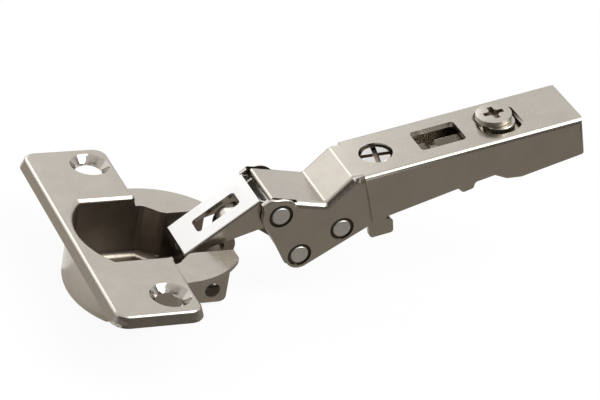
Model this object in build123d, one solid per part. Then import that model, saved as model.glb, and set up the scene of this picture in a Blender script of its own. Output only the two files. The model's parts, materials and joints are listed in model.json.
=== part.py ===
from build123d import *
from math import atan2, cos, degrees, hypot, radians, sin, sqrt
import os

# Angled cabinet hinge: a drawn cup for a 35 mm bore, two links and a folded clip-on arm.
# Millimetres. The origin is the cup's axis on the door's face, +Z points out of the door,
# +X points to the arm, and the hinge is mirror-symmetric about the XZ plane.
# The hinge is modelled fully open, with the arm OPEN_TILT degrees off the cup's flange.

# Cup
CUP_R = 17.5
CUP_DEPTH = 12.8
SHEET = 1.0
FLANGE_H = 2.2
FLANGE_X0, FLANGE_X1 = -18.6, -1.2
FLANGE_HALF = 29.9
FLANGE_CORNER = 2.6
LIP_FLARE = 0.8
SCREW_X, SCREW_Y = -6.0, 24.0
SCREW_HOLE_R = 2.75
COUNTERSINK_R = 4.1
EAR_R = 17.4
EAR_X1 = 13.6
POCKET_HALF_WIDE = 10.8
POCKET_HALF_NARROW = 7.4
POCKET_BEND_X = 1.0
POCKET_END_X = 13.4
FLOOR_END_X = 12.9
FLOOR_ROUND = 2.6
MOUTH_ROUND = 0.65

# Linkage pivots, in the XZ plane
OUTER_PIN = (8.1, -5.3)
INNER_PIN = (10.3, -8.7)
OPEN_TILT = 12.8
ARM_ORIGIN = (37.67, 13.98)
FRONT_RIVET = (-15.8, -4.0)
REAR_RIVET = (-3.0, -11.0)
LOWER_RIVET = (-12.4, -14.5)

# Links
LINK_HALF = 5.3
LINK_TOP = 5.0
LINK_TOP_END = 17.5
LINK_EDGE = 0.5
LINK_SHEET = 1.0
LINK_SLOT = (3.9, 14.2)
LINK_SLOT_HALF = 2.05
LEVER_HALF = 1.7
LEVER_BAR = 2.4
LEVER_HUB_R = 2.3
LEVER_HUB_HALF = 3.4
DRIFT = (0.72, 1.70)
DRIFT_PLAY = 0.32

# Rivets and pins
RIVET_R = 1.6
RIVET_HEAD_R = 1.9
RIVET_DIMPLE_R = 2.55
RIVET_DIMPLE = 0.35
PIN_R = 1.0
STUD_R = 1.25
RUNNING = 0.05

# Arm, in its own frame: x to its rear, z square to its top, origin on the crank's fold
ARM_HALF = 7.4
BOSS_HALF = 6.9
ARM_SHEET = 1.2
ARM_LENGTH = 50.8
ARM_BEND = 1.1
BOSS_BEND = 1.5
FOLD_ROUND = 0.8
VALLEY = (-6.0, -4.2)
BOSS_FRONT = (-17.6, 0.4)
BOSS_SLIT = (-18.0, -12.0)
BOSS_SLIT_Y = 6.0
BOSS_SLIT_WIDTH = 0.7
SIDE_FRONT_X = 2.4
SIDE_LEAN = 1.2
OVERLAY_X = 7.7
OVERLAY_HOLE_R = 3.5
WINDOW = (16.5, 26.4)
WINDOW_HALF = 3.5
CAM_HOLE = (30.3, 39.4)
CAM_HOLE_R = 5.3
HOLE_ROUND = 0.8

# Closing spring on the rear rivet
SLEEVE_R = 2.2
COIL_R = 2.75
COIL_WIRE_R = 0.55
COIL_HALF = 3.3
COIL_TURNS = 4.75

# Carriage inside the arm, and what it carries
CARRIAGE_HALF = 5.9
CARRIAGE_SHEET = 1.2
CARRIAGE_TOP = -3.0
CARRIAGE_X = (3.0, 49.4)
CLAW_NECK_X = 7.1
CLAW_FOOT_X = 8.6
CLAW_FOOT_Z = (-12.7, -16.1)
SLIDE = (-0.49, 1.5)
SCREW_TOP = -0.5
SCREW_R = 3.1
SCREW_NECK_R = 1.6
SCREW_FOOT_R = 2.7
CROSS_SLOT = 1.1
CAM_X = 34.0
CAM_TOP = 2.0
CAM_HEAD = 1.3
CAM_HEAD_R = 3.75
CAM_COLLAR_R = 3.3
CAM_OFFSET = (0.55, -1.3)
CAM_JOURNAL_R = 2.2
FOLLOWER_Z = (-2.9, -2.1)
LATCH_PIN_AT = (42.5, -6.6)
LATCH_PIN_R = 1.2
LATCH_HALF = 2.6
LATCH_COIL_R = 1.9
LATCH_WIRE_R = 0.25

ARM_FRAME = Pos(ARM_ORIGIN[0], 0, ARM_ORIGIN[1]) * Rot(0, -OPEN_TILT, 0)


def on_door(point):
    """An arm point (x, z) in the cup's frame."""
    c, s = cos(radians(OPEN_TILT)), sin(radians(OPEN_TILT))
    return (ARM_ORIGIN[0] + c * point[0] - s * point[1], ARM_ORIGIN[1] + s * point[0] + c * point[1])


def plate(outline, y0, y1):
    """An outline drawn in the XZ plane, made solid from y0 to y1."""
    return Pos(0, (y0 + y1) / 2, 0) * extrude(Plane.XZ * outline, (y1 - y0) / 2, both=True)


def pair(outline, y0, y1):
    """The same plate on both sides of the middle plane."""
    return plate(outline, y0, y1) + plate(outline, -y1, -y0)


def rod(at, radius, y0, y1):
    """A round bar across the hinge, its axis through at."""
    return plate(Pos(at[0], at[1]) * Circle(radius), y0, y1)


def strap(a, ra, b, rb):
    """The outline of a link: two round ends and the tangents between them."""
    (ax, az), (bx, bz) = a, b
    along = atan2(bz - az, bx - ax)
    lean = (ra - rb) / hypot(bx - ax, bz - az)
    side = sqrt(1 - lean * lean)
    corners = []
    for (cx, cz), r, sign in ((a, ra, 1), (b, rb, 1), (b, rb, -1), (a, ra, -1)):
        nx, nz = lean, sign * side
        dx, dz = cos(along) * nx - sin(along) * nz, sin(along) * nx + cos(along) * nz
        corners.append((cx + r * dx, cz + r * dz))
    return Polygon(*corners, align=None) + Pos(ax, az) * Circle(ra) + Pos(bx, bz) * Circle(rb)


def hole_through(x0, x1, half, round_r):
    """A round-cornered rectangle across the top sheet, to cut with."""
    return Pos((x0 + x1) / 2, 0) * extrude(RectangleRounded(x1 - x0, 2 * half, round_r), 3, both=True)


def disc(x, y, radius, z0, z1):
    """A round step square to the arm's top."""
    return Pos(x, y, z0) * extrude(Circle(radius), z1 - z0)


def cross(x, z, reach, width, depth):
    """Two crossed slots, sunk from z."""
    slots = Rectangle(2 * reach, width) + Rectangle(width, 2 * reach)
    return Pos(x, 0, z - depth) * extrude(slots, 2 * depth)


def coil_spring(at, radius, wire_r, y0, y1, turns, start, first_leg, last_leg):
    """Torsion spring about a crosswise axis: a helix with a straight leg at each end."""
    helix = Helix((y1 - y0) / turns, y1 - y0, radius)
    helix = Pos(at[0], y0, at[1]) * Rot(0, start, 0) * Rot(-90, 0, 0) * helix
    spring = sweep(Plane(helix @ 0, z_dir=helix % 0) * Circle(wire_r), path=helix, is_frenet=True)
    first = Plane(helix @ 0, z_dir=-(helix % 0))
    last = Plane(helix @ 1, z_dir=helix % 1)
    return spring + first * extrude(Circle(wire_r), first_leg) + last * extrude(Circle(wire_r), last_leg)


def pocket_plan(grow):
    """The cup's pocket seen from above: round at the back, necked towards the arm."""
    wide, narrow = POCKET_HALF_WIDE + grow, POCKET_HALF_NARROW + grow
    radius = CUP_R - SHEET + grow
    neck = POCKET_HALF_WIDE - POCKET_HALF_NARROW
    bend = POCKET_BEND_X + grow * 0.41
    left = -sqrt(radius**2 - wide**2)
    outline = ThreePointArc((left, -wide), (-radius, 0), (left, wide))
    outline += Polyline((left, wide), (bend, wide), (bend + neck, narrow), (POCKET_END_X, narrow),
                        (POCKET_END_X, -narrow), (bend + neck, -narrow), (bend, -wide), (left, -wide))
    return make_face(outline)


def flange_plan(grow):
    """The flange plate's outline, grown sideways."""
    length = FLANGE_X1 - FLANGE_X0 + 2 * grow
    middle = (FLANGE_X0 + FLANGE_X1) / 2
    return Pos(middle, 0) * RectangleRounded(length, 2 * (FLANGE_HALF + grow), FLANGE_CORNER + grow)


def cup_shell():
    """Flange tray, two ears and the drawn pocket, all one sheet."""
    flare = degrees(atan2(LIP_FLARE, FLANGE_H))
    tray = extrude(flange_plan(LIP_FLARE), FLANGE_H, taper=flare)
    tray = fillet(tray.edges().group_by(Axis.Z)[-1], 0.75)
    tray -= extrude(flange_plan(LIP_FLARE - SHEET), FLANGE_H - SHEET, taper=flare)

    ears = Pos(0, 0, -SHEET) * extrude(Circle(EAR_R), SHEET)
    ears &= Pos((FLANGE_X1 + EAR_X1) / 2, 0, 0) * Box(EAR_X1 - FLANGE_X1 + 0.4, 80, 8)
    corners = ears.edges().filter_by(Axis.Z).sort_by(Axis.X)[-2:]
    ears = fillet(corners, 1.2)

    body = Pos(0, 0, -CUP_DEPTH) * extrude(pocket_plan(SHEET), CUP_DEPTH + FLANGE_H - 0.4)
    body = fillet(body.edges().group_by(Axis.Z)[0], FLOOR_ROUND)
    body -= Pos(FLANGE_X1 + 0.4 + 20, 0, 10) * Box(40, 60, 20)

    hollow_depth = CUP_DEPTH - SHEET
    hollow = Pos(0, 0, -hollow_depth) * extrude(pocket_plan(0), hollow_depth + FLANGE_H + 1)
    hollow = fillet(hollow.edges().group_by(Axis.Z)[0], FLOOR_ROUND - SHEET)

    cup = tray + ears + body
    for side in (-1, 1):
        at = Pos(SCREW_X, side * SCREW_Y, 0)
        cup += at * Pos(0, 0, 0.75) * Cone(SCREW_HOLE_R + 0.9, COUNTERSINK_R + 0.9, 0.9)
    cup -= hollow
    # The pocket is open towards the arm, and its floor stops short of the pins.
    open_end = Pos((FLOOR_END_X + 20) / 2, 0, -6) * Box(20 - FLOOR_END_X, 2 * POCKET_HALF_NARROW, 14)
    cup -= open_end
    for side in (-1, 1):
        at = Pos(SCREW_X, side * SCREW_Y, 0)
        cup -= at * Pos(0, 0, FLANGE_H - 0.7) * Cone(SCREW_HOLE_R, COUNTERSINK_R, 1.4)
        cup -= at * Cylinder(SCREW_HOLE_R, 6)
    cup -= rod(INNER_PIN, PIN_R, -20, 20) + rod(OUTER_PIN, STUD_R, -20, 20)
    mouth = Pos(0, 0, FLANGE_H) * extrude(pocket_plan(MOUTH_ROUND), -MOUTH_ROUND, taper=45)
    return cup - (mouth & Pos(FLANGE_X1 - 20, 0, 0) * Box(40, 60, 20))


def inner_link_pin():
    """Round pin across the cup, its ends upset outside both walls."""
    reach = POCKET_HALF_NARROW + SHEET
    pin = rod(INNER_PIN, PIN_R, -reach, reach)
    return pin + pair(Pos(*INNER_PIN) * Circle(1.6), reach, reach + 0.5)


def outer_link_stud(side):
    """Shouldered stud in one wall; it stops short of the middle, where the inner link swings."""
    wall = POCKET_HALF_NARROW
    outside = wall + SHEET
    cheek = (LINK_HALF - LINK_SHEET - 0.1, LINK_HALF + 0.1)
    steps = ((3.8, cheek[0], 1.7), (cheek[0], cheek[1], STUD_R - RUNNING), (cheek[1], wall, 2.0),
             (wall, outside, STUD_R), (outside, outside + 0.5, 1.8))
    stud = None
    for y0, y1, radius in steps:
        step = rod(OUTER_PIN, radius, min(side * y0, side * y1), max(side * y0, side * y1))
        stud = step if stud is None else stud + step
    return stud


def outer_link():
    """U-shaped link, its slot left open for the inner link's hump when the hinge closes."""
    front = on_door(FRONT_RIVET)
    span = hypot(front[0] - OUTER_PIN[0], front[1] - OUTER_PIN[1])
    lean = degrees(atan2(front[1] - OUTER_PIN[1], front[0] - OUTER_PIN[0]))
    cheek = Polygon((-0.6, LINK_TOP), (LINK_TOP_END, LINK_TOP), (span + 1.0, 1.85), (span + 2.0, -0.5),
                    (span + 1.6, -2.5), (span - 0.4, -2.95), (span - 2.0, -1.8), (3.6, 3.0), (2.2, 0.9),
                    (-2.3, 0.6), align=None)
    cheek += Circle(2.4) + Pos(span, 0) * Circle(2.1)
    body = plate(cheek, -LINK_HALF, LINK_HALF)
    top_edges = body.edges().filter_by(Axis.X).group_by(Axis.Z)[-1].filter_by(
        lambda e: e.length > LINK_TOP_END - 1)
    body = fillet(top_edges, LINK_EDGE)
    inner = LINK_HALF - LINK_SHEET
    body -= Pos(10, 0, LINK_TOP - LINK_SHEET - 10) * Box(60, 2 * inner, 20)
    body -= Pos(LINK_TOP_END + 5, 0, LINK_TOP) * Box(10, 2 * inner + 1.0, 4)
    slot = Pos(sum(LINK_SLOT) / 2, 0, LINK_TOP) * Box(LINK_SLOT[1] - LINK_SLOT[0], 2 * LINK_SLOT_HALF, 4)
    body -= fillet(slot.edges().filter_by(Axis.Z), 0.8)
    body -= rod((0, 0), STUD_R, -20, 20) + rod((span, 0), RIVET_R + RUNNING, -20, 20)
    return Pos(OUTER_PIN[0], 0, OUTER_PIN[1]) * Rot(0, -lean, 0) * body


def inner_link():
    """Humped lever: it rises out of the cup inside the outer link and drops to the lower rivet."""
    lower = on_door(LOWER_RIVET)
    route = FilletPolyline(INNER_PIN, (16.3, -3.4), (13.4, 1.4), (14.5, 3.4), (17.2, 4.45), lower,
                           radius=(2.4, 1.9, 2.0, 2.4))
    lever = plate(trace(route, LEVER_BAR), -LEVER_HALF, LEVER_HALF)
    lever += rod(INNER_PIN, LEVER_HUB_R, -LEVER_HUB_HALF, LEVER_HUB_HALF)
    far = (lower[0] + DRIFT[0], lower[1] + DRIFT[1])
    eye = strap(lower, RIVET_R + 1.3, far, RIVET_R + 1.3)
    lever += plate(eye, -LEVER_HUB_HALF, LEVER_HUB_HALF)
    lever -= plate(strap(lower, RIVET_R + DRIFT_PLAY, far, RIVET_R + DRIFT_PLAY), -9, 9)
    return lever - rod(INNER_PIN, PIN_R + RUNNING, -9, 9)


def rivet(at):
    """Rivet across the arm's front, its flat heads standing in the cheeks' dimples."""
    floor = BOSS_HALF - RIVET_DIMPLE
    body = rod(at, RIVET_R, -floor, floor)
    return ARM_FRAME * (body + pair(Pos(*at) * Circle(RIVET_HEAD_R), floor, BOSS_HALF + 0.1))


def bent_top(body, half, x0, radius):
    """Rounds the two top edges where the sheet is folded down."""
    return fillet(body.edges().filter_by(lambda e: abs(abs(e.center().Y) - half) < 0.01
                                         and e.center().X > x0 and e.center().Z > VALLEY[1] - 0.5), radius)


def arm_side():
    """Side of the straight channel, with the wavy lower edge that clears the mounting."""
    side = Polygon((SIDE_FRONT_X, 0), (ARM_LENGTH, 0), (ARM_LENGTH + 0.7, -9.2), (37.0, -10.7),
                   (33.6, -10.1), (31.0, -8.5), (26.7, -8.9), (26.4, -10.2), (23.8, -10.6),
                   (22.8, -9.35), (10.0, -10.9), (SIDE_FRONT_X + SIDE_LEAN, -11.7), align=None)
    lower = side.vertices().filter_by(lambda v: v.Y < -8 and v.X > SIDE_FRONT_X + 2)
    return fillet(lower, 0.6)


def boss_side():
    """Side of the cranked front: two round eyes, the sloping nose and the valley above."""
    side = Polygon(BOSS_FRONT, (-19.4, -0.6), (-19.2, -5.0), (-15.6, -15.6), (-11.4, -17.45),
                   (SIDE_FRONT_X + 2, -11.6), (SIDE_FRONT_X + 2, 0), (0, 0), VALLEY, align=None)
    folds = side.vertices().filter_by(lambda v: v.Y > VALLEY[1] - 0.1 and -7 < v.X < 1)
    return fillet(folds, FOLD_ROUND) + strap(FRONT_RIVET, 3.8, LOWER_RIVET, 3.1)


def hinge_arm():
    """Folded sheet: crank with two cheeks in front, straight channel behind."""
    boss = bent_top(plate(boss_side(), -BOSS_HALF, BOSS_HALF), BOSS_HALF, -13, BOSS_BEND)
    channel = bent_top(plate(arm_side(), -ARM_HALF, ARM_HALF), ARM_HALF, 5, ARM_BEND)
    arm = boss + channel
    under_boss = Polygon((-30, BOSS_FRONT[1] - ARM_SHEET + 4.8), (BOSS_FRONT[0], BOSS_FRONT[1] - ARM_SHEET),
                         (VALLEY[0], VALLEY[1] - ARM_SHEET * 1.1), (0.4, -ARM_SHEET),
                         (SIDE_FRONT_X + 1, -ARM_SHEET), (SIDE_FRONT_X + 1, -30), (-30, -30), align=None)
    arm -= plate(under_boss, -BOSS_HALF + ARM_SHEET, BOSS_HALF - ARM_SHEET)
    arm -= Pos(BOSS_FRONT[0] - 5, 0, 0) * Box(10.2, 2 * (BOSS_HALF - ARM_SHEET), 12)
    arm -= Pos(40 + SIDE_FRONT_X, 0, -20 - ARM_SHEET) * Box(80, 2 * (ARM_HALF - ARM_SHEET), 40)
    for at in (FRONT_RIVET, REAR_RIVET, LOWER_RIVET):
        arm -= rod(at, RIVET_R, -20, 20)
        arm -= pair(Pos(*at) * Circle(RIVET_DIMPLE_R), BOSS_HALF - RIVET_DIMPLE, BOSS_HALF + 1)
    for side in (-1, 1):
        slit = Box(BOSS_SLIT[1] - BOSS_SLIT[0], BOSS_SLIT_WIDTH, 4.4)
        arm -= Pos(sum(BOSS_SLIT) / 2, side * BOSS_SLIT_Y, -1) * slit
    arm -= disc(OVERLAY_X, 0, OVERLAY_HOLE_R, -3, 3)
    arm -= hole_through(*WINDOW, WINDOW_HALF, HOLE_ROUND)
    cam_hole = Circle(CAM_HOLE_R) & Rectangle(CAM_HOLE[1] - CAM_HOLE[0], 4 * CAM_HOLE_R)
    arm -= Pos(sum(CAM_HOLE) / 2, 0) * extrude(cam_hole, 3, both=True)
    return ARM_FRAME * arm


def spring_sleeve():
    """Bush on the rear rivet, between the cheeks."""
    reach = BOSS_HALF - ARM_SHEET
    return ARM_FRAME * plate(Pos(*REAR_RIVET) * (Circle(SLEEVE_R) - Circle(RIVET_R)), -reach, reach)


def closing_spring():
    """Coil round the sleeve, one leg under the crank and one above the inner link's eye."""
    spring = coil_spring(REAR_RIVET, COIL_R, COIL_WIRE_R, -COIL_HALF, COIL_HALF, COIL_TURNS, -90, 4.5, 5.3)
    return ARM_FRAME * spring


def overlay_screw():
    """Screw in the arm's top: crosswise slots, a neck through the carriage and a foot under it."""
    carriage_under = CARRIAGE_TOP - CARRIAGE_SHEET
    screw = disc(OVERLAY_X, 0, SCREW_R, CARRIAGE_TOP + 0.15, SCREW_TOP)
    screw += disc(OVERLAY_X, 0, SCREW_NECK_R, carriage_under - 0.15, CARRIAGE_TOP + 0.15)
    screw += disc(OVERLAY_X, 0, SCREW_FOOT_R, carriage_under - 1.35, carriage_under - 0.15)
    return ARM_FRAME * (screw - cross(OVERLAY_X, SCREW_TOP, SCREW_R + 1, CROSS_SLOT, 1.0))


def carriage():
    """Channel that clips over the mounting: two claws in front, holes for the screw and the cam."""
    side = Polygon((CARRIAGE_X[0], CARRIAGE_TOP), (CARRIAGE_X[1], CARRIAGE_TOP), (CARRIAGE_X[1], -7.6),
                   (36.0, -9.2), (31.0, -7.4), (CLAW_NECK_X + 0.6, -9.2), (CLAW_NECK_X, CLAW_FOOT_Z[0]),
                   (CLAW_FOOT_X, CLAW_FOOT_Z[0]), (CLAW_FOOT_X, CLAW_FOOT_Z[1]), (3.5, CLAW_FOOT_Z[1]),
                   (CARRIAGE_X[0], -12.9), align=None)
    toes = side.vertices().filter_by(lambda v: v.Y < CLAW_FOOT_Z[0] - 0.1 or v.X > CLAW_FOOT_X - 0.1)
    body = plate(fillet(toes, 0.7), -CARRIAGE_HALF, CARRIAGE_HALF)
    inner = CARRIAGE_HALF - CARRIAGE_SHEET
    body -= Pos(26, 0, CARRIAGE_TOP - CARRIAGE_SHEET - 10) * Box(60, 2 * inner, 20)
    slot = SlotOverall(2 * (SCREW_NECK_R + 0.2) + SLIDE[1] - SLIDE[0], 2 * SCREW_NECK_R + 0.3)
    body -= Pos(OVERLAY_X - sum(SLIDE) / 2, 0, CARRIAGE_TOP) * extrude(slot, 3, both=True)
    body -= disc(CAM_X, 0, CAM_JOURNAL_R + RUNNING, CARRIAGE_TOP - 3, CARRIAGE_TOP + 3)
    for x0, x1 in ((15.6, 20.2), (21.6, 27.2)):
        body -= Pos(0, 0, CARRIAGE_TOP) * hole_through(x0, x1, 3.0, 0.6)
    return ARM_FRAME * (body - rod(LATCH_PIN_AT, LATCH_PIN_R, -20, 20))


def depth_cam():
    """Eccentric that shifts the arm along its carriage: driven head, offset collar, journal, foot."""
    washer_under = CARRIAGE_TOP - CARRIAGE_SHEET - 0.8
    cam = disc(CAM_X, 0, CAM_HEAD_R, CAM_TOP - CAM_HEAD, CAM_TOP)
    cam += disc(CAM_X + CAM_OFFSET[0], CAM_OFFSET[1], CAM_COLLAR_R, CARRIAGE_TOP + 0.1, CAM_TOP - CAM_HEAD)
    cam += disc(CAM_X, 0, CAM_JOURNAL_R, washer_under - 0.1, CARRIAGE_TOP + 0.1)
    cam += disc(CAM_X, 0, CAM_JOURNAL_R + 0.8, washer_under - 0.9, washer_under - 0.1)
    return ARM_FRAME * (cam - cross(CAM_X, CAM_TOP, 2.1, 0.95, 1.1))


def cam_washer():
    """Ring under the carriage, round the cam's journal."""
    under = CARRIAGE_TOP - CARRIAGE_SHEET
    ring = disc(CAM_X, 0, 4.2, under - 0.8, under)
    return ARM_FRAME * (ring - disc(CAM_X, 0, CAM_JOURNAL_R + RUNNING, under - 2, under + 2))


def cam_follower():
    """Plate between the arm's sides; the cam's collar works in its crosswise slot."""
    reach = ARM_HALF - ARM_SHEET
    middle = CAM_X + CAM_OFFSET[0]
    plan = Rectangle(11.2, 2 * reach) - Rectangle(2 * CAM_COLLAR_R + 0.3, 2 * reach - 1.6)
    return ARM_FRAME * (Pos(middle, 0, FOLLOWER_Z[0]) * extrude(plan, FOLLOWER_Z[1] - FOLLOWER_Z[0]))


def latch_lever():
    """Release lever at the rear: hook towards the mounting, tail for the finger."""
    x, z = LATCH_PIN_AT
    outline = Polygon((x - 1.6, z + 1.6), (x + 2.2, z + 0.6), (49.0, -8.0), (49.0, -9.4),
                      (x + 2.6, z - 2.0), (41.6, -12.4), (38.6, -12.4), (38.4, -11.4), (40.0, -10.8),
                      (x - 2.3, z - 0.2), align=None)
    outline += Pos(x, z) * Circle(2.3)
    lever = plate(outline, -LATCH_HALF, LATCH_HALF)
    return ARM_FRAME * (lever - rod(LATCH_PIN_AT, LATCH_PIN_R + RUNNING, -9, 9))


def latch_pin():
    """Pin that carries the release lever."""
    return ARM_FRAME * rod(LATCH_PIN_AT, LATCH_PIN_R, -CARRIAGE_HALF, CARRIAGE_HALF)


def latch_spring():
    """Small torsion spring beside the release lever."""
    spring = coil_spring(LATCH_PIN_AT, LATCH_COIL_R, LATCH_WIRE_R, 3.0, 4.3, 2.25, 90, 4.0, 2.35)
    return ARM_FRAME * spring


PARTS = {
    "cup_shell": cup_shell,
    "inner_link_pin": inner_link_pin,
    "outer_link_stud_near": lambda: outer_link_stud(-1),
    "outer_link_stud_far": lambda: outer_link_stud(1),
    "outer_link": outer_link,
    "inner_link": inner_link,
    "hinge_arm": hinge_arm,
    "front_rivet": lambda: rivet(FRONT_RIVET),
    "rear_rivet": lambda: rivet(REAR_RIVET),
    "lower_rivet": lambda: rivet(LOWER_RIVET),
    "spring_sleeve": spring_sleeve,
    "closing_spring": closing_spring,
    "overlay_screw": overlay_screw,
    "carriage": carriage,
    "depth_cam": depth_cam,
    "cam_washer": cam_washer,
    "cam_follower": cam_follower,
    "latch_lever": latch_lever,
    "latch_pin": latch_pin,
    "latch_spring": latch_spring,
}

os.makedirs("parts", exist_ok=True)
for name, make in PARTS.items():
    export_step(make(), f"parts/{name}.step")
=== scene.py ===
"""Angled cabinet hinge: nickel-plated sheet, upset rivets, wound springs and adjusters, in a pale studio."""

import json
from math import cos, hypot, pi, radians, sin, tau

import bpy
from mathutils import Euler, Matrix, Vector

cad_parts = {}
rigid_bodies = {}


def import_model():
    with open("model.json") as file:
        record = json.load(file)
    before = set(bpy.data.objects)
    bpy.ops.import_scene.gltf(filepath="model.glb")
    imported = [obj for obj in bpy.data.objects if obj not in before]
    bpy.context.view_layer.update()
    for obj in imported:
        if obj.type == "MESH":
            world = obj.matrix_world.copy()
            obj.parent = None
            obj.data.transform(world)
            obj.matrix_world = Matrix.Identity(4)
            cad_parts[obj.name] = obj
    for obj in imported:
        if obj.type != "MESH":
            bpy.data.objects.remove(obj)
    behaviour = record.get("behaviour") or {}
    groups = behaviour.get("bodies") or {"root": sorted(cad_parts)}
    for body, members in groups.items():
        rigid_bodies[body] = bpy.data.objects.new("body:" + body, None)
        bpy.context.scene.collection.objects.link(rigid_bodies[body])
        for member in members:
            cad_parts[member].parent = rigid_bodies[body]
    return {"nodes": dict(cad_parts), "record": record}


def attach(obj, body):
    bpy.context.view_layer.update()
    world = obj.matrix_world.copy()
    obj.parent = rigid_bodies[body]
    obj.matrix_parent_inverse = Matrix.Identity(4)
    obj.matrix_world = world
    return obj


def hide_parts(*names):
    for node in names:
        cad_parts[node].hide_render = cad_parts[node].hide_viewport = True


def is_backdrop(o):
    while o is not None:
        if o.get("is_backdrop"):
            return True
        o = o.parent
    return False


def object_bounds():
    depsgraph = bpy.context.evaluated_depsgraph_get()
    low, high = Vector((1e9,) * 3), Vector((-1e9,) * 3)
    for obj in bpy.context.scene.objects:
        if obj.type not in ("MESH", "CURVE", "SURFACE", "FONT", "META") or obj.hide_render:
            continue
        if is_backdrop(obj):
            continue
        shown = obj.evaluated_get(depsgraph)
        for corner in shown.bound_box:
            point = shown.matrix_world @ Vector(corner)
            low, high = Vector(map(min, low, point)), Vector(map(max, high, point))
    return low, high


bl_info = {
    "name": "Angled cabinet hinge",
    "version": (1, 0, 0),
    "blender": (4, 5, 0),
    "location": "View3D > Sidebar > Hinge",
    "description": "Dresses the packed hinge: plated sheet, rivets, springs, adjusters and a studio",
    "category": "Object",
}

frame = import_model()
MM = 0.001
BODY_OF = {node: body for body, nodes in frame["record"]["behaviour"]["bodies"].items() for node in nodes}
SLOT_OF = {part["node"]: part["material_slot"] for part in frame["record"]["subparts"]}

# Arm frame: x to the arm's rear, z square to its top, origin on the crank's fold.
ARM_PLACE = Matrix.Translation((37.67 * MM, 0, 13.98 * MM)) @ Matrix.Rotation(-radians(12.8), 4, "Y")
# Turns a piece made upright on Z so that it lies across the hinge, along Y.
CROSSWISE = Matrix.Rotation(-pi / 2, 4, "X")

# Arm-frame places (x, z) in millimetres
RIVETS = {"front_rivet": (-15.8, -4.0), "rear_rivet": (-3.0, -11.0), "lower_rivet": (-12.4, -14.5)}
OVERLAY_X = 7.7
OVERLAY_TURN = radians(-11)
CAM_X = 34.0
CAM_OFFSET = (0.55, -1.3)
LATCH_PIN = (42.5, -6.6)
# The boss with its flat top, its lugs and its rivets' dimples, in the arm's frame and millimetres
BOSS_HALF = 6.9
BOSS_FRONT_EDGE = (-17.5, 0.36)
BOSS_FLAT_AT = (-9.71, -2.73)
BOSS_FLAT_SLOPE = -0.3968
BOSS_FLAT_X = (-16.2, -12.9)
BOSS_FLAT_HALF = 5.7
LUG_REAR_X = -12.6
LUG_FOOT_Z = -2.1
LUG_ROUND_R = 3.4
DIMPLE_R = 2.62
DIMPLE_Y = (6.4, 6.86)

# Cup-frame places (x, z) in millimetres
OUTER_PIN = (8.1, -5.3)
INNER_PIN = (10.3, -8.7)
# The flange's holes, the pocket's mouth, walls and floor, in the cup's frame and millimetres
FLANGE_HOLES = (-6.0, 24.0)
COUNTERSINK_R = 4.6
COUNTERSINK_Z = (0.3, 2.19)
BORE_R = 16.5
MOUTH_R = 17.3
MOUTH_HALF = 11.6
MOUTH_LEVELS = (1.55, 2.2)
POCKET_CORNERS = ((1.0, 10.8), (4.4, 7.4))
POCKET_END_X = 13.4
POCKET_FLOOR_Z = -11.9
# Below this height the lever stands in the pocket and takes the pocket's painted shade
LEVER_SHADE_Z = 0.8

# Points closer together than this are merged
WELD = 0.004 * MM
# Edges sharper than these stay sharp in the shading, and are rounded on sheet
SHADE_ANGLE = radians(30)
ROUND_ANGLE = radians(32)
# How finely wire is wound: points round its section, and steps in each turn
WIRE_POINTS = 14
TURN_STEPS = 28

# The studio's middle and the places along x between which the front card changes colour, in metres
STUDIO_MIDDLE = (0.03, 0, 0.01)
CARD_FADE = (-0.032, -0.006)
# The colours of the room and of the cards that the metal reflects
WALL = (0.95, 0.94, 0.93)
SHADE = (0.17, 0.155, 0.135)
BLACK = (0.10, 0.091, 0.081)
SKIRTING = (0.16, 0.145, 0.13)
FRONT_BOARD = (0.30, 0.272, 0.235)
FRONT_BOARD_LEFT = (0.78, 0.74, 0.70)
BACK_BOARD = (0.46, 0.42, 0.37)


# Sizes and colours that a user would change


class HingeSheetSettings(bpy.types.PropertyGroup):
    """How far the sheet's edges are rounded"""

    edge_round: bpy.props.FloatProperty(
        name="Edge round", description="Rounding of the pressed sheet's edges",
        default=0.16 * MM, unit="LENGTH", precision=5)
    fine_edge_round: bpy.props.FloatProperty(
        name="Fine edge round", description="Rounding of edges on the small links and the carriage",
        default=0.12 * MM, unit="LENGTH", precision=5)


class HingeFinishSettings(bpy.types.PropertyGroup):
    """The colours of the metals"""

    nickel: bpy.props.FloatVectorProperty(
        name="Satin nickel", description="Colour of the satin nickel plate on cup and arm",
        default=(0.50, 0.465, 0.415), size=3, subtype="COLOR", min=0, max=1)
    bright_nickel: bpy.props.FloatVectorProperty(
        name="Bright nickel", description="Colour of the brighter plate on the links",
        default=(0.62, 0.612, 0.603), size=3, subtype="COLOR", min=0, max=1)
    # The pocket's duller plate, its colour darkened as painted shade down in the drawn pocket
    pocket_shaded_nickel: bpy.props.FloatVectorProperty(
        name="Pocket nickel", description="Colour of the thin, dull plate down in the drawn pocket",
        default=(0.33, 0.288, 0.242), size=3, subtype="COLOR", min=0, max=1)
    rivet_steel: bpy.props.FloatVectorProperty(
        name="Rivet steel", description="Colour of the rivets' upset faces",
        default=(0.27, 0.28, 0.27), size=3, subtype="COLOR", min=0, max=1)
    # Painted shade: a dark colour put in slots, recesses and the rivets' dimple rings, where shade falls
    painted_crevice_shade: bpy.props.FloatVectorProperty(
        name="Crevice", description="Colour of the oily film in slots, recesses and rivet dimples",
        default=(0.10, 0.083, 0.065), size=3, subtype="COLOR", min=0, max=1)
    spring_wire: bpy.props.FloatVectorProperty(
        name="Spring wire", description="Colour of the drawn spring wire",
        default=(0.20, 0.185, 0.165), size=3, subtype="COLOR", min=0, max=1)


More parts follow.
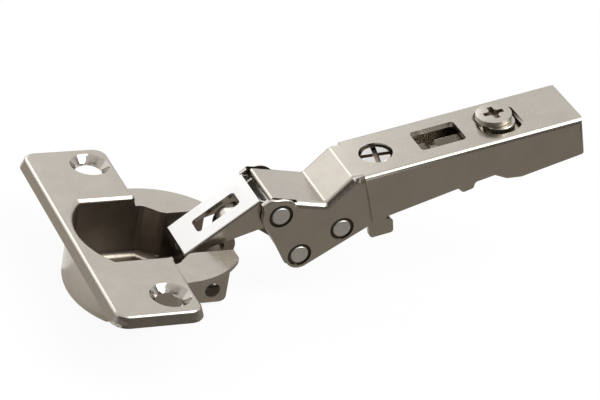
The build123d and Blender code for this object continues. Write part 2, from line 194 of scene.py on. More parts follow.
class HingeStudioSettings(bpy.types.PropertyGroup):
    """Where the camera stands and how it looks"""

    camera_place: bpy.props.FloatVectorProperty(
        name="Camera place", description="Where the camera stands",
        default=(-186.83 * MM, -405.69 * MM, 273.42 * MM), size=3, subtype="TRANSLATION", unit="LENGTH")
    camera_turn: bpy.props.FloatVectorProperty(
        name="Camera turn", description="The camera's rotation about X, Y and Z",
        default=(radians(59.351), radians(-9.355), radians(-22.651)), size=3, subtype="EULER",
        unit="ROTATION")
    lens: bpy.props.FloatProperty(
        name="Lens", description="Focal length in millimetres on a 36 mm wide sensor", default=158.95, min=1)


# Small helpers


def deselect_all():
    """Goes back to object mode with nothing selected."""
    if bpy.context.mode != "OBJECT":
        bpy.ops.object.mode_set(mode="OBJECT")
    bpy.ops.object.select_all(action="DESELECT")


def only(piece):
    """Leaves one object selected and active."""
    deselect_all()
    piece.select_set(True)
    bpy.context.view_layer.objects.active = piece


def active_as(name):
    """The object that was just added, under its own name."""
    piece = bpy.context.active_object
    piece.name = name
    piece.data.name = name
    return piece


def put(piece, place):
    """Carries a piece to its place and writes that place into its mesh."""
    only(piece)
    piece.matrix_world = place @ piece.matrix_world
    bpy.ops.object.transform_apply(location=True, rotation=True, scale=True)


def across(at):
    """The place of a crosswise piece whose axis goes through at, (x, z) in millimetres."""
    return Matrix.Translation((at[0] * MM, 0, at[1] * MM)) @ CROSSWISE


def upright(x):
    """The place of a piece that stands square to the arm's top, x millimetres along it."""
    return ARM_PLACE @ Matrix.Translation((x * MM, 0, 0))


def in_arm(place):
    """A place in metres, as a point of the arm's frame in millimetres."""
    return ARM_PLACE.inverted() @ place / MM


def finish(piece, node, metal):
    """Smooths a piece, plates it, and lets it stand for its node and ride on that node's body."""
    only(piece)
    bpy.ops.object.shade_smooth_by_angle(angle=SHADE_ANGLE)
    if not piece.data.materials:
        piece.data.materials.append(metal)
    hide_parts(node)
    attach(piece, BODY_OF[node])


def second_metal(piece, metal, is_inside):
    """Gives the faces that is_inside picks, by centre and normal in millimetres, a metal of their own."""
    piece.data.materials.append(metal)
    last = len(piece.data.materials) - 1
    for face in piece.data.polygons:
        if is_inside(face.center / MM, face.normal):
            face.material_index = last


def apply_all(piece):
    """Applies every modifier of a piece, in order."""
    only(piece)
    for modifier in list(piece.modifiers):
        bpy.ops.object.modifier_apply(modifier=modifier.name)


def turned(name, outline, steps=48):
    """A turned piece: an outline of (radius, height) millimetres, drawn point by point and spun about Z."""
    deselect_all()
    first = Vector((outline[0][0], 0, outline[0][1])) * MM
    bpy.ops.mesh.primitive_plane_add(size=0.1 * MM, location=first)
    piece = active_as(name)
    bpy.ops.object.transform_apply(location=True, rotation=True, scale=True)
    bpy.ops.object.mode_set(mode="EDIT")
    bpy.ops.mesh.select_mode(type="VERT")
    bpy.ops.mesh.select_all(action="SELECT")
    bpy.ops.mesh.merge(type="CENTER")
    for here, there in zip(outline, outline[1:]):
        move = Vector((there[0] - here[0], 0, there[1] - here[1])) * MM
        bpy.ops.mesh.extrude_region_move(TRANSFORM_OT_translate={"value": move})
    bpy.ops.mesh.select_all(action="SELECT")
    bpy.ops.mesh.spin(steps=steps, angle=tau, center=(0, 0, 0), axis=(0, 0, 1))
    bpy.ops.mesh.select_all(action="SELECT")
    bpy.ops.mesh.remove_doubles(threshold=WELD)
    bpy.ops.mesh.normals_make_consistent(inside=False)
    bpy.ops.object.mode_set(mode="OBJECT")
    return piece


def both_ends(half):
    """The outline of a piece that is the same at both ends, from that of one end."""
    return half + [(radius, -height) for radius, height in reversed(half)]


def copy_of(piece, name):
    """A copy with a mesh of its own."""
    only(piece)
    bpy.ops.object.duplicate(linked=False)
    return active_as(name)


def sink(piece, cutter):
    """Cuts a recess out of a piece and clears the cutter away."""
    only(piece)
    cut = piece.modifiers.new("recess", "BOOLEAN")
    cut.operation = "DIFFERENCE"
    cut.solver = "EXACT"
    cut.object = cutter
    bpy.ops.object.modifier_apply(modifier=cut.name)
    only(cutter)
    bpy.ops.object.delete()


def slot_cutter(length, width, depth, top, turn, narrow):
    """A bar to sink into a screw's face; below, it narrows to a share of its width and length."""
    deselect_all()
    bpy.ops.mesh.primitive_cube_add(size=1, location=(0, 0, 0))
    cutter = active_as("slot_cutter")
    cutter.scale = (length * MM, width * MM, 2 * depth * MM)
    bpy.ops.object.transform_apply(location=True, rotation=True, scale=True)
    bpy.ops.object.mode_set(mode="EDIT")
    bpy.ops.mesh.select_mode(type="VERT")
    bpy.ops.mesh.select_all(action="DESELECT")
    bpy.ops.object.mode_set(mode="OBJECT")
    for corner in cutter.data.vertices:
        corner.select = corner.co.z < 0
    bpy.ops.object.mode_set(mode="EDIT")
    bpy.ops.transform.resize(value=(narrow, narrow, 1))
    bpy.ops.object.mode_set(mode="OBJECT")
    put(cutter, Matrix.Translation((0, 0, top * MM)) @ Matrix.Rotation(turn, 4, "Z"))
    return cutter


def wire_coil(name, radius, wire, rise, turns, legs):
    """Wound wire about Y from (radius, 0, 0): a screwed round section, then a straight leg at each end."""
    deselect_all()
    bpy.ops.mesh.primitive_circle_add(vertices=WIRE_POINTS, radius=wire * MM, location=(radius * MM, 0, 0))
    piece = active_as(name)
    bpy.ops.object.transform_apply(location=True, rotation=True, scale=True)
    winding = piece.modifiers.new("winding", "SCREW")
    winding.axis = "Y"
    winding.angle = turns * tau
    winding.screw_offset = rise * MM
    winding.steps = round(TURN_STEPS * turns)
    winding.render_steps = winding.steps
    apply_all(piece)
    far = turns * tau
    lean = rise / (turns * tau * radius)
    ends = ((Vector((radius, 0, 0)), Vector((0, -lean, 1)), legs[0]),
            (Vector((radius * cos(far), rise, -radius * sin(far))),
             Vector((-sin(far), lean, -cos(far))), legs[1]))
    # Each leg is the section drawn out along its way, and ends in a short taper
    tip, tip_share = 0.12, 0.75
    for at, way, length in ends:
        bpy.ops.object.mode_set(mode="EDIT")
        bpy.ops.mesh.select_mode(type="EDGE")
        bpy.ops.mesh.select_all(action="DESELECT")
        bpy.ops.object.mode_set(mode="OBJECT")
        for edge in piece.data.edges:
            here, there = (piece.data.vertices[index].co / MM for index in edge.vertices)
            off = (here + there) / 2 - at
            edge.select = off.length < wire * 1.02 and abs(off.dot(way.normalized())) < 0.16 * wire
        bpy.ops.object.mode_set(mode="EDIT")
        bpy.ops.mesh.extrude_region_move(
            TRANSFORM_OT_translate={"value": way.normalized() * (length - tip) * MM})
        bpy.ops.mesh.extrude_region_move(
            TRANSFORM_OT_translate={"value": way.normalized() * tip * MM})
        bpy.ops.transform.resize(value=(tip_share, tip_share, tip_share))
        bpy.ops.mesh.edge_face_add()
    bpy.ops.mesh.select_all(action="SELECT")
    bpy.ops.mesh.remove_doubles(threshold=WELD)
    bpy.ops.mesh.normals_make_consistent(inside=False)
    bpy.ops.object.mode_set(mode="OBJECT")
    return piece


# Metals


def node_tree(name):
    """A new material with its node tree and its Principled shader."""
    material = bpy.data.materials.new(name)
    material.use_nodes = True
    tree = material.node_tree
    return material, tree, tree.nodes["Principled BSDF"]


def plated(name, colour, roughness, grain_mm, cloud=0.06, streak=(1, 1, 1), bump=0.05, specks=0.0):
    """Metal plate: cloudy tint, streaky roughness, a fine grain in the surface and a few dull specks."""
    material, tree, shader = node_tree(name)
    link = tree.links.new
    place = tree.nodes.new("ShaderNodeTexCoord")
    stretch = tree.nodes.new("ShaderNodeMapping")
    stretch.inputs["Scale"].default_value = streak
    link(place.outputs["Object"], stretch.inputs["Vector"])

    clouds = tree.nodes.new("ShaderNodeTexNoise")
    clouds.inputs["Scale"].default_value = 160
    clouds.inputs["Detail"].default_value = 9
    clouds.inputs["Roughness"].default_value = 0.68
    link(place.outputs["Object"], clouds.inputs["Vector"])
    tint = tree.nodes.new("ShaderNodeValToRGB")
    dark = [c * (1 - cloud) for c in colour]
    light = [min(1, c * (1 + cloud)) for c in colour]
    tint.color_ramp.elements[0].position = 0.3
    tint.color_ramp.elements[0].color = (*dark, 1)
    tint.color_ramp.elements[1].position = 0.7
    tint.color_ramp.elements[1].color = (*light, 1)
    link(clouds.outputs["Fac"], tint.inputs["Fac"])

    grain = tree.nodes.new("ShaderNodeTexNoise")
    grain.inputs["Scale"].default_value = 1000 / grain_mm
    grain.inputs["Detail"].default_value = 3
    link(stretch.outputs["Vector"], grain.inputs["Vector"])
    spread = tree.nodes.new("ShaderNodeMapRange")
    spread.inputs["From Min"].default_value = 0.3
    spread.inputs["From Max"].default_value = 0.7
    spread.inputs["To Min"].default_value = roughness * 0.85
    spread.inputs["To Max"].default_value = roughness * 1.15
    link(grain.outputs["Fac"], spread.inputs["Value"])
    link(spread.outputs["Result"], shader.inputs["Roughness"])

    pits = tree.nodes.new("ShaderNodeTexVoronoi")
    pits.inputs["Scale"].default_value = 1400
    link(place.outputs["Object"], pits.inputs["Vector"])
    speck = tree.nodes.new("ShaderNodeMapRange")
    speck.inputs["From Min"].default_value = 0.05
    speck.inputs["From Max"].default_value = 0.35
    speck.inputs["To Min"].default_value = specks
    speck.inputs["To Max"].default_value = 0.0
    link(pits.outputs["Distance"], speck.inputs["Value"])
    dulled = tree.nodes.new("ShaderNodeMix")
    dulled.data_type = "RGBA"
    link(speck.outputs["Result"], dulled.inputs["Factor"])
    link(tint.outputs["Color"], dulled.inputs["A"])
    dulled.inputs["B"].default_value = (*[c * 0.55 for c in colour], 1)
    link(dulled.outputs["Result"], shader.inputs["Base Color"])

    relief = tree.nodes.new("ShaderNodeBump")
    relief.inputs["Strength"].default_value = bump
    relief.inputs["Distance"].default_value = 0.02 * MM
    link(grain.outputs["Fac"], relief.inputs["Height"])
    link(relief.outputs["Normal"], shader.inputs["Normal"])
    shader.inputs["Metallic"].default_value = 1.0
    return material


def metals():
    """The hinge's metals, each made once."""
    made = bpy.data.materials
    if "satin_nickel" not in made:
        colours = bpy.context.scene.hinge_finish
        plated("satin_nickel", colours.nickel, 0.24, 0.25, specks=0.10)
        plated("bright_nickel", colours.bright_nickel, 0.18, 0.3, cloud=0.03)
        plated("polished_nickel", [0.85 * c for c in colours.nickel], 0.09, 1.6, cloud=0.05, bump=1.0)
        # Duller plate in the pocket, its colour darkened with painted shade
        plated("pocket_shaded_nickel", colours.pocket_shaded_nickel, 0.36, 0.4, cloud=0.18, streak=(1, 1, 0.15), bump=0.15)
        plated("lever_nickel", colours.nickel, 0.20, 0.3, cloud=0.05)
        plated("rivet_steel", colours.rivet_steel, 0.42, 0.2, cloud=0.10, specks=0.25)
        # Painted shade: a nearly black steel for the inner pin's head, standing for the shade in the ear's
        # hole
        plated("shaded_polished_steel", [0.2 * c for c in colours.nickel], 0.12, 0.3, cloud=0.03)
        # Painted shade in the rivets' dimples, and a lighter painted shade in slots and recesses
        plated("crevice_painted_shade", colours.painted_crevice_shade, 0.5, 0.3, cloud=0.25)
        plated("recess_painted_shade", [2.6 * c for c in colours.painted_crevice_shade], 0.4, 0.3, cloud=0.25)
        plated("turned_nickel", colours.nickel, 0.34, 0.25, cloud=0.08)
        # Painted shade, darker still, on the pocket's floor
        plated("pocket_floor_shade", [0.45 * c for c in colours.pocket_shaded_nickel], 0.4, 0.4, cloud=0.18)
        plated("spring_wire", colours.spring_wire, 0.32, 0.2, streak=(1, 4, 1))
    return made


class HINGE_OT_finish(bpy.types.Operator):
    """Gives every node of the model the metal of its slot"""

    bl_idname = "hinge.finish"
    bl_label = "Metals"

    def execute(self, context):
        by_slot = {"link_nickel": "bright_nickel", "rivet_steel": "rivet_steel",
                   "spring_wire": "spring_wire"}
        for node, piece in frame["nodes"].items():
            metal = metals()[by_slot.get(SLOT_OF[node], "satin_nickel")]
            for place in piece.material_slots:
                place.material = metal
        return {"FINISHED"}


# Pressed and folded sheet


def merge_flats(piece, gap=None):
    """Merges the facets of each flat face into one, and first any points within a gap of each other."""
    only(piece)
    bpy.ops.object.mode_set(mode="EDIT")
    bpy.ops.mesh.select_all(action="SELECT")
    if gap:
        bpy.ops.mesh.remove_doubles(threshold=gap)
    bpy.ops.mesh.dissolve_limited(angle_limit=radians(0.5), delimit=set())
    bpy.ops.object.mode_set(mode="OBJECT")


def merged_copy(node, name):
    """A copy of a node with its facets merged into whole faces."""
    piece = copy_of(frame["nodes"][node], name)
    bpy.ops.object.parent_clear(type="CLEAR_KEEP_TRANSFORM")
    merge_flats(piece, 0.002 * MM)
    return piece


def soften(piece, picked, width, segments=3):
    """Rounds the edges whose middle, in millimetres, is picked."""
    only(piece)
    bpy.ops.object.mode_set(mode="EDIT")
    bpy.ops.mesh.select_mode(type="EDGE")
    bpy.ops.mesh.select_all(action="DESELECT")
    bpy.ops.object.mode_set(mode="OBJECT")
    points = piece.data.vertices
    for edge in piece.data.edges:
        here, there = (points[index].co / MM for index in edge.vertices)
        edge.select = picked((here + there) / 2, there - here)
    bpy.ops.object.mode_set(mode="EDIT")
    bpy.ops.mesh.bevel(offset=width, segments=segments, affect="EDGES")
    bpy.ops.object.mode_set(mode="OBJECT")


def clear_slivers(piece):
    """Closes up the faces of no width that rounding can leave in tight corners."""
    only(piece)
    bpy.ops.object.mode_set(mode="EDIT")
    bpy.ops.mesh.select_all(action="SELECT")
    bpy.ops.mesh.remove_doubles(threshold=WELD)
    bpy.ops.mesh.dissolve_degenerate(threshold=WELD)
    bpy.ops.object.mode_set(mode="OBJECT")


def round_and_finish(piece, node, width, metal):
    """Rounds a sheet piece's edges, keeps its flats flat, and lets it stand for its node."""
    rounding = piece.modifiers.new("rounded edges", "BEVEL")
    rounding.width = width
    rounding.segments = 3
    rounding.limit_method = "ANGLE"
    rounding.angle_limit = ROUND_ANGLE
    rounding.use_clamp_overlap = True
    rounding.miter_outer = "MITER_ARC"
    apply_all(piece)
    clear_slivers(piece)
    piece.data.materials.clear()
    finish(piece, node, metal)
    flats = piece.modifiers.new("flat faces", "WEIGHTED_NORMAL")
    flats.keep_sharp = True
    apply_all(piece)


def in_pocket(point):
    """Whether a cup-frame point in millimetres lies in the drawn pocket's hollow."""
    (bend_x, wide), (_, narrow) = POCKET_CORNERS
    half = max(wide - max(point.x - bend_x, 0.0), narrow)
    return (abs(point.y) < half and hypot(point.x, point.y) < BORE_R and point.x < POCKET_END_X
            and POCKET_FLOOR_Z < point.z < MOUTH_LEVELS[0])


class HINGE_OT_sheet(bpy.types.Operator):
    """Rounds the pressed and folded sheet: the cup with its flange and the cranked arm"""

    bl_idname = "hinge.sheet"
    bl_label = "Cup and arm"

    def execute(self, context):
        width = context.scene.hinge_sheet.edge_round
        nickel = metals()["satin_nickel"]
        cup = merged_copy("cup_shell", "cup_plated")
        soften(cup, self.at_pocket_corner, 0.8 * MM)
        soften(cup, self.at_mouth, 0.3 * MM)
        round_and_finish(cup, "cup_shell", width, nickel)
        # Painted shade: the pocket's hollow and, darker, its floor take the shaded nickel
        second_metal(cup, metals()["pocket_shaded_nickel"], lambda at, way: in_pocket(at + 0.3 * way))
        second_metal(cup, metals()["pocket_floor_shade"], self.on_floor)
        second_metal(cup, metals()["polished_nickel"], self.in_countersink)
        arm = merged_copy("hinge_arm", "arm_plated")
        self.press_boss(arm)
        soften(arm, self.at_boss_front, 0.95 * MM, 6)
        soften(arm, self.at_lug_top, 0.5 * MM, 4)
        round_and_finish(arm, "hinge_arm", width, nickel)
        # Painted shade in the ring sunk round each rivet's head
        second_metal(arm, metals()["crevice_painted_shade"], self.in_dimple)
        return {"FINISHED"}

    def at_pocket_corner(self, at, along):
        """The upright folds of the drawn pocket's wall."""
        upright_edge = abs(along.z) > 5 and abs(along.x) + abs(along.y) < 0.1
        return upright_edge and any(hypot(at.x - x, abs(at.y) - y) < 0.3 for x, y in POCKET_CORNERS)

    def at_mouth(self, at, along):
        """The two edges of the chamfer round the pocket's mouth."""
        level = any(abs(at.z - height) < 0.02 for height in MOUTH_LEVELS)
        return level and abs(along.z) < 0.01 and abs(at.y) < MOUTH_HALF and hypot(at.x, at.y) < MOUTH_R

    def on_floor(self, at, way):
        """The flat floor of the drawn pocket."""
        return way.z > 0.9 and at.z < POCKET_FLOOR_Z + 1 and hypot(at.x, at.y) < BORE_R

    def in_countersink(self, at, way):
        """The cone round each of the flange's screw holes."""
        low, high = COUNTERSINK_Z
        off = hypot(at.x - FLANGE_HOLES[0], abs(at.y) - FLANGE_HOLES[1])
        return low < at.z < high and 0.2 < way.z < 0.95 and off < COUNTERSINK_R

    def press_boss(self, arm):
        """Presses the boss's top flat between its two lugs."""
        front, rear = BOSS_FLAT_X
        for corner in arm.data.vertices:
            here = in_arm(corner.co)
            flat = BOSS_FLAT_AT[1] + BOSS_FLAT_SLOPE * (here.x - BOSS_FLAT_AT[0])
            if abs(here.y) < BOSS_FLAT_HALF and front < here.x < rear and here.z > flat:
                here.z = flat
                corner.co = ARM_PLACE @ (here * MM)
        merge_flats(arm)

    def at_boss_front(self, at, along):
        """The top edge of the sheet across the front of the boss."""
        here = in_arm(at * MM)
        edge_x, edge_z = BOSS_FRONT_EDGE
        return abs(along.y) > 7 and abs(here.x - edge_x) < 0.02 and abs(here.z - edge_z) < 0.05

    def at_lug_top(self, at, along):
        """The outer edge of each lug, from its front over the front rivet."""
        here = in_arm(at * MM)
        rivet_x, rivet_z = RIVETS["front_rivet"]
        return (abs(abs(here.y) - BOSS_HALF) < 0.02 and here.x < LUG_REAR_X and here.z > LUG_FOOT_Z
                and abs(along.y) < 0.02 and hypot(here.x - rivet_x, here.z - rivet_z) > LUG_ROUND_R)

    def in_dimple(self, at, way):
        """The ring of sheet sunk round each rivet's head."""
        here = in_arm(at * MM)
        low, high = DIMPLE_Y
        near_rivet = any(hypot(here.x - x, here.z - z) < DIMPLE_R for x, z in RIVETS.values())
        return near_rivet and low < abs(here.y) < high


class HINGE_OT_links(bpy.types.Operator):
    """Rounds the two links, the carriage, the follower plate and the release lever"""

    bl_idname = "hinge.links"
    bl_label = "Links and carriage"

    def execute(self, context):
        width = context.scene.hinge_sheet.fine_edge_round
        for node, metal, edges in (("outer_link", "bright_nickel", 1), ("inner_link", "lever_nickel", 4),
                                   ("carriage", "satin_nickel", 1), ("latch_lever", "satin_nickel", 1),
                                   ("cam_follower", "satin_nickel", 1)):
            piece = merged_copy(node, node + "_plated")
            round_and_finish(piece, node, width * edges, metals()[metal])
            if node == "outer_link":
                # Painted light and shade: the link's top keeps the bright plate and its side faces take the
                # darker satin nickel
                second_metal(piece, metals()["satin_nickel"], lambda at, way: abs(way.y) > 0.5)
            if node == "inner_link":
                # Painted shade on the lever where it stands down in the pocket
                second_metal(piece, metals()["pocket_shaded_nickel"], lambda at, way: at.z < LEVER_SHADE_Z)
        return {"FINISHED"}


# Turned pieces


class HINGE_OT_rivets(bpy.types.Operator):
    """Turns the three rivets of the arm, with upset, lightly dished heads"""

    bl_idname = "hinge.rivets"
    bl_label = "Rivets"

    def execute(self, context):
        head = [(0, 6.9), (0.6, 6.93), (1.2, 6.98), (1.62, 7.0), (1.76, 6.97), (1.85, 6.88), (1.9, 6.74),
                (1.9, 6.56), (1.6, 6.55)]
        first = turned("rivet_blank", both_ends(head))
        for node, at in RIVETS.items():
            rivet = copy_of(first, node + "_upset")
            put(rivet, ARM_PLACE @ across(at))
            finish(rivet, node, metals()["rivet_steel"])
        only(first)
        bpy.ops.object.delete()
        return {"FINISHED"}


class HINGE_OT_pins(bpy.types.Operator):
    """Turns the pins and studs of the cup, the spring's sleeve and the release lever's pin"""

    bl_idname = "hinge.pins"
    bl_label = "Pins and studs"

    def execute(self, context):
        steel = metals()["rivet_steel"]
        dome = [(0, 8.9), (0.5, 8.88), (0.9, 8.82), (1.25, 8.71), (1.48, 8.56), (1.6, 8.4), (1.0, 8.4)]
        pin = turned("inner_link_pin_turned", both_ends(dome))
        put(pin, across(INNER_PIN))
        # Painted shade: the head is made nearly black for the shade in the ear's hole
        finish(pin, "inner_link_pin", metals()["shaded_polished_steel"])

        stud = [(0, 3.8), (1.55, 3.8), (1.7, 3.95), (1.7, 4.2), (1.2, 4.2), (1.2, 5.4), (2.0, 5.4),
                (2.0, 7.4), (1.25, 7.4), (1.25, 8.4), (1.8, 8.4), (1.77, 8.58), (1.58, 8.76), (1.2, 8.87),
                (0.6, 8.9), (0, 8.9)]
        for side, node in ((1, "outer_link_stud_far"), (-1, "outer_link_stud_near")):
            shouldered = turned(node + "_turned", [(r, side * y) for r, y in stud])
            put(shouldered, across(OUTER_PIN))
            finish(shouldered, node, steel)

        tube = [(1.6, 5.7), (2.1, 5.7), (2.2, 5.6), (2.2, -5.6), (2.1, -5.7), (1.6, -5.7), (1.6, 5.7)]
        sleeve = turned("spring_sleeve_turned", tube)
        put(sleeve, ARM_PLACE @ across(RIVETS["rear_rivet"]))
        finish(sleeve, "spring_sleeve", steel)

        end = [(0, 5.9), (1.0, 5.9), (1.2, 5.72)]
        latch_pin = turned("latch_pin_turned", both_ends(end))
        put(latch_pin, ARM_PLACE @ across(LATCH_PIN))
        finish(latch_pin, "latch_pin", steel)
        return {"FINISHED"}


class HINGE_OT_adjusters(bpy.types.Operator):
    """Makes the overlay screw, the eccentric depth cam and its washer"""

    bl_idname = "hinge.adjusters"
    bl_label = "Overlay screw and depth cam"

    def execute(self, context):
        self.overlay_screw()
        self.depth_cam()
        washer = turned("cam_washer_turned", [(2.25, -4.2), (4.05, -4.2), (4.2, -4.3), (4.2, -4.9),
                                              (4.1, -5.0), (2.25, -5.0), (2.25, -4.2)])
        put(washer, upright(CAM_X))
        finish(washer, "cam_washer", metals()["satin_nickel"])
        return {"FINISHED"}

    def overlay_screw(self):
        """Threaded barrel with two crossed slots, a neck through the carriage and a foot under it."""
        thread = [(0, -0.5), (2.85, -0.5), (3.05, -0.62)]
        height = -0.75
        while height > -2.5:
            thread += [(3.1, height), (3.1, height - 0.1), (2.86, height - 0.3), (2.86, height - 0.4)]
            height -= 0.6
        barrel = thread + [(3.0, -2.85), (1.6, -2.85), (1.6, -4.35), (2.6, -4.35), (2.7, -4.45),
                           (2.7, -5.45), (2.6, -5.55), (0, -5.55)]
        screw = turned("overlay_screw_cut", barrel, 64)
        screw.data.materials.append(metals()["bright_nickel"])
        for turn in (OVERLAY_TURN, OVERLAY_TURN + pi / 2):
            sink(screw, slot_cutter(8, 1.1, 1.0, -0.5, turn, 0.94))
        # Painted shade at the bottom of the crossed slots
        second_metal(screw, metals()["recess_painted_shade"],
                     lambda at, way: -1.6 < at.z < -0.58 and hypot(at.x, at.y) < 3.0)
        put(screw, upright(OVERLAY_X))
        finish(screw, "overlay_screw", metals()["satin_nickel"])

    def depth_cam(self):
        """Driven head with a cross recess, over the offset collar, the journal and the foot."""
        head = turned("depth_cam_cut", [(0, 2.0), (3.5, 2.0), (3.66, 1.94), (3.75, 1.8), (3.75, 0.84),
                                        (3.66, 0.72), (0, 0.7)], 64)
        head.data.materials.append(metals()["turned_nickel"])
        for turn in (0, pi / 2):
            sink(head, slot_cutter(5.1, 1.35, 1.05, 2.0, turn, 0.7))
        for turn in (pi / 4, -pi / 4):
            sink(head, slot_cutter(3.1, 0.9, 0.6, 2.0, turn, 0.5))
        # Painted shade down in the cross recess
        second_metal(head, metals()["recess_painted_shade"],
                     lambda at, way: 0.8 < at.z < 1.97 and hypot(at.x, at.y) < 2.3)

        ring = [(0, 0.7), (3.2, 0.7), (3.3, 0.6), (3.3, -2.8), (3.2, -2.9), (0, -2.9)]
        collar = turned("cam_collar", ring, 64)
        put(collar, Matrix.Translation((CAM_OFFSET[0] * MM, CAM_OFFSET[1] * MM, 0)))
        foot = [(0, -2.9), (2.2, -2.9), (2.2, -5.1), (2.9, -5.1), (3.0, -5.2), (3.0, -5.8), (2.9, -5.9),
                (0, -5.9)]
        journal = turned("cam_journal", foot)
        for part in (collar, journal):
            part.data.materials.append(metals()["satin_nickel"])
            part.select_set(True)
        head.select_set(True)
        bpy.context.view_layer.objects.active = head
        bpy.ops.object.join()
        put(head, upright(CAM_X))
        finish(head, "depth_cam", metals()["satin_nickel"])


class HINGE_OT_springs(bpy.types.Operator):
    """Winds the closing spring on its sleeve and the release lever's small spring"""

    bl_idname = "hinge.springs"
    bl_label = "Springs"

    def execute(self, context):
        wire = metals()["spring_wire"]
        closing = wire_coil("closing_spring_wound", 2.75, 0.55, 6.6, 4.75, (4.5, 5.3))
        at = RIVETS["rear_rivet"]
        start = Matrix.Translation((at[0] * MM, -3.3 * MM, at[1] * MM))
        put(closing, ARM_PLACE @ start @ Matrix.Rotation(radians(-90), 4, "Y"))
        finish(closing, "closing_spring", wire)

        latch = wire_coil("latch_spring_wound", 1.9, 0.25, 1.3, 2.25, (4.0, 2.35))
        start = Matrix.Translation((LATCH_PIN[0] * MM, 3.0 * MM, LATCH_PIN[1] * MM))
        put(latch, ARM_PLACE @ start @ Matrix.Rotation(radians(90), 4, "Y"))
        finish(latch, "latch_spring", wire)
        return {"FINISHED"}


# Stage


def soft_box(name, way, reach, size, radiance):
    """A soft light that stands off the hinge's middle along way, with the same radiance all over."""
    centre = Vector(STUDIO_MIDDLE)
    place = centre + Vector(way).normalized() * reach
    deselect_all()
    bpy.ops.object.light_add(type="AREA", location=place)
    lamp = active_as(name)
    lamp.data.shape = "RECTANGLE"
    lamp.data.size, lamp.data.size_y = size
    lamp.data.energy = radiance * pi * size[0] * size[1]
    lamp.rotation_euler = (centre - place).to_track_quat("-Z", "Y").to_euler()


def ray_kinds(tree, *names):
    """One for the named kinds of ray and nought for the rest."""
    rays = tree.nodes.new("ShaderNodeLightPath")
    value = rays.outputs[names[0]]
    for name in names[1:]:
        either = tree.nodes.new("ShaderNodeMath")
        either.operation = "MAXIMUM"
        tree.links.new(value, either.inputs[0])
        tree.links.new(rays.outputs[name], either.inputs[1])
        value = either.outputs["Value"]
    return value


def ease(tree, value, low, high):
    """A smooth step from nought at low to one at high."""
    step = tree.nodes.new("ShaderNodeMapRange")
    step.interpolation_type = "SMOOTHSTEP"
    step.inputs["From Min"].default_value = low
    step.inputs["From Max"].default_value = high
    tree.links.new(value, step.inputs["Value"])
    return step.outputs["Result"]


def by_height(tree, height, *stops):
    """A colour that changes with height, given as (height, colour) stops."""
    ramp = tree.nodes.new("ShaderNodeValToRGB")
    tree.links.new(height, ramp.inputs["Fac"])
    marks = ramp.color_ramp.elements
    while len(marks) < len(stops):
        marks.new(0.5)
    for mark, (place, colour) in zip(marks, stops):
        mark.position = place
        mark.color = (*colour, 1)
    return ramp.outputs["Color"]


def blend(tree, share, first, second):
    """The second colour over the first by a share from nought to one."""
    mix = tree.nodes.new("ShaderNodeMix")
    mix.data_type = "RGBA"
    tree.links.new(share, mix.inputs["Factor"])
    tree.links.new(first, mix.inputs["A"])
    tree.links.new(second, mix.inputs["B"])
    return mix.outputs["Result"]


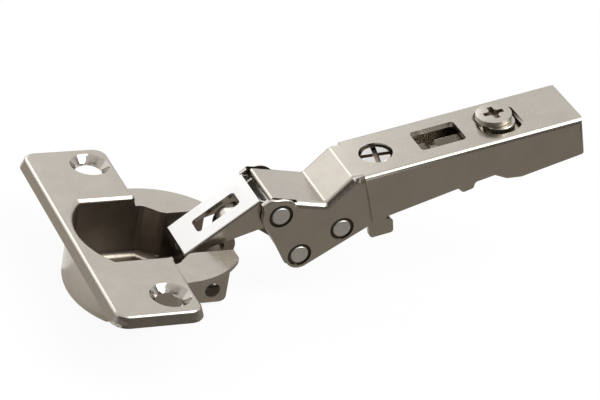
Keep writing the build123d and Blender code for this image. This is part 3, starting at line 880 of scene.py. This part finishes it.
class HINGE_OT_studio(bpy.types.Operator):
    """Pale floor, cards for the metal to reflect, soft lights, a room and the camera"""

    bl_idname = "hinge.studio"
    bl_label = "Studio"

    def execute(self, context):
        studio = context.scene.hinge_studio
        floor_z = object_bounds()[0].z - 0.05 * MM
        deselect_all()
        bpy.ops.mesh.primitive_plane_add(size=8, location=(0, 0, floor_z))
        floor = active_as("floor")
        floor.data.materials.append(self.pale_floor())
        floor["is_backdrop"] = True

        card_z = floor_z + 0.02 * MM
        self.card("front_card", (0.35, -0.05, card_z), (0.80, 0.12), FRONT_BOARD, FRONT_BOARD_LEFT)
        self.card("far_card", (0.35, -0.655, card_z), (0.80, 1.09), BLACK)
        self.card("back_card", (-0.24, 0.195, card_z), (0.40, 0.40), BACK_BOARD)

        soft_box("key", (0.42, -0.36, 0.83), 0.65, (0.42, 0.52), 4.5)
        soft_box("back_left", (-0.42, 0.80, 0.42), 0.75, (0.62, 0.36), 0.50)
        soft_box("back_strip", (-0.10, 0.88, 0.46), 0.75, (0.40, 0.42), 1.6)

        world = bpy.data.worlds.new("studio")
        context.scene.world = world
        world.use_nodes = True
        self.room(world.node_tree)

        bpy.ops.object.camera_add(location=studio.camera_place, rotation=Euler(studio.camera_turn))
        camera = active_as("camera")
        camera.data.lens = studio.lens
        camera.data.sensor_width = 36
        camera.data.clip_start = 0.01
        context.scene.camera = camera
        context.scene.view_settings.view_transform = "Standard"
        return {"FINISHED"}

    def pale_floor(self):
        """Nearly white of itself to the camera and to gloss, and matt enough to hold a shadow."""
        material, tree, shader = node_tree("pale_floor")
        link = tree.links.new
        shader.inputs["Base Color"].default_value = (0.82, 0.81, 0.80, 1)
        shader.inputs["Roughness"].default_value = 0.9
        white = tree.nodes.new("ShaderNodeEmission")
        share = tree.nodes.new("ShaderNodeMath")
        share.operation = "MULTIPLY"
        share.inputs[1].default_value = 0.93
        seen = ray_kinds(tree, "Is Camera Ray", "Is Glossy Ray", "Is Transmission Ray")
        link(seen, share.inputs[0])
        mix = tree.nodes.new("ShaderNodeMixShader")
        link(share.outputs["Value"], mix.inputs["Fac"])
        link(shader.outputs["BSDF"], mix.inputs[1])
        link(white.outputs["Emission"], mix.inputs[2])
        link(mix.outputs["Shader"], tree.nodes["Material Output"].inputs["Surface"])
        return material

    def card(self, name, middle, size, colour, left_colour=None):
        """A sheet just off the floor that only the metal's reflections see."""
        deselect_all()
        bpy.ops.mesh.primitive_plane_add(size=1, location=middle)
        card = active_as(name)
        card.scale = (*size, 1)
        bpy.ops.object.transform_apply(location=True, rotation=False, scale=True)
        card.data.materials.append(self.card_glow(name, colour, left_colour))
        card.visible_camera = False
        card.visible_diffuse = False
        card.visible_shadow = False
        card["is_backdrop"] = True

    def card_glow(self, name, colour, left_colour):
        """A card's own even colour, which may change to another towards its left edge."""
        material, tree, shader = node_tree(name)
        tree.nodes.remove(shader)
        link = tree.links.new
        glow = tree.nodes.new("ShaderNodeEmission")
        glow.inputs["Color"].default_value = (*colour, 1)
        link(glow.outputs["Emission"], tree.nodes["Material Output"].inputs["Surface"])
        if left_colour:
            place = tree.nodes.new("ShaderNodeTexCoord")
            split = tree.nodes.new("ShaderNodeSeparateXYZ")
            link(place.outputs["Object"], split.inputs["Vector"])
            shade = tree.nodes.new("ShaderNodeMix")
            shade.data_type = "RGBA"
            link(ease(tree, split.outputs["X"], *CARD_FADE), shade.inputs["Factor"])
            shade.inputs["A"].default_value = (*left_colour, 1)
            shade.inputs["B"].default_value = (*colour, 1)
            link(shade.outputs["Result"], glow.inputs["Color"])
        return material

    def room(self, tree):
        """A pale room, dim on the camera's side and along its foot; the camera itself sees white."""
        link = tree.links.new
        place = tree.nodes.new("ShaderNodeTexCoord")
        split = tree.nodes.new("ShaderNodeSeparateXYZ")
        link(place.outputs["Generated"], split.inputs["Vector"])
        up = split.outputs["Z"]
        back = by_height(tree, up, (0.05, SKIRTING), (0.17, WALL))
        front = by_height(tree, up, (0.06, SHADE), (0.14, BLACK), (0.50, BLACK), (0.63, WALL))
        left = by_height(tree, up, (0.06, SHADE), (0.14, BLACK), (0.70, BLACK), (0.85, WALL))
        near = blend(tree, ease(tree, split.outputs["X"], 0.02, -0.22), front, left)
        walls = blend(tree, ease(tree, split.outputs["Y"], 0.15, -0.35), back, near)
        shown = tree.nodes.new("ShaderNodeMix")
        shown.data_type = "RGBA"
        link(ray_kinds(tree, "Is Camera Ray"), shown.inputs["Factor"])
        link(walls, shown.inputs["A"])
        shown.inputs["B"].default_value = (1, 1, 1, 1)
        link(shown.outputs["Result"], tree.nodes["Background"].inputs["Color"])


# Panel and registration


BUILD_STEPS = (HINGE_OT_finish, HINGE_OT_sheet, HINGE_OT_links, HINGE_OT_rivets, HINGE_OT_pins,
               HINGE_OT_adjusters, HINGE_OT_springs, HINGE_OT_studio)
SETTINGS = {"hinge_sheet": HingeSheetSettings, "hinge_finish": HingeFinishSettings,
            "hinge_studio": HingeStudioSettings}


class HINGE_PT_panel(bpy.types.Panel):
    """Lists the hinge's settings and the steps that build its looks"""

    bl_idname = "HINGE_PT_panel"
    bl_label = "Angled cabinet hinge"
    bl_space_type = "VIEW_3D"
    bl_region_type = "UI"
    bl_category = "Hinge"

    def draw(self, context):
        for name, group in SETTINGS.items():
            box = self.layout.box()
            for setting in group.__annotations__:
                box.prop(getattr(context.scene, name), setting)
        for step in BUILD_STEPS:
            self.layout.operator(step.bl_idname)


CLASSES = (*SETTINGS.values(), *BUILD_STEPS, HINGE_PT_panel)


def register():
    """Registers the classes and gives the scene their settings."""
    for cls in CLASSES:
        bpy.utils.register_class(cls)
    for name, group in SETTINGS.items():
        setattr(bpy.types.Scene, name, bpy.props.PointerProperty(type=group))


def unregister():
    """Takes the settings and the classes away again."""
    for name in SETTINGS:
        delattr(bpy.types.Scene, name)
    for cls in reversed(CLASSES):
        bpy.utils.unregister_class(cls)


def main():
    """Runs every step in order."""
    register()
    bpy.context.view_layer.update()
    for step in BUILD_STEPS:
        group, name = step.bl_idname.split(".")
        getattr(getattr(bpy.ops, group), name)()


if __name__ == "__main__":
    main()
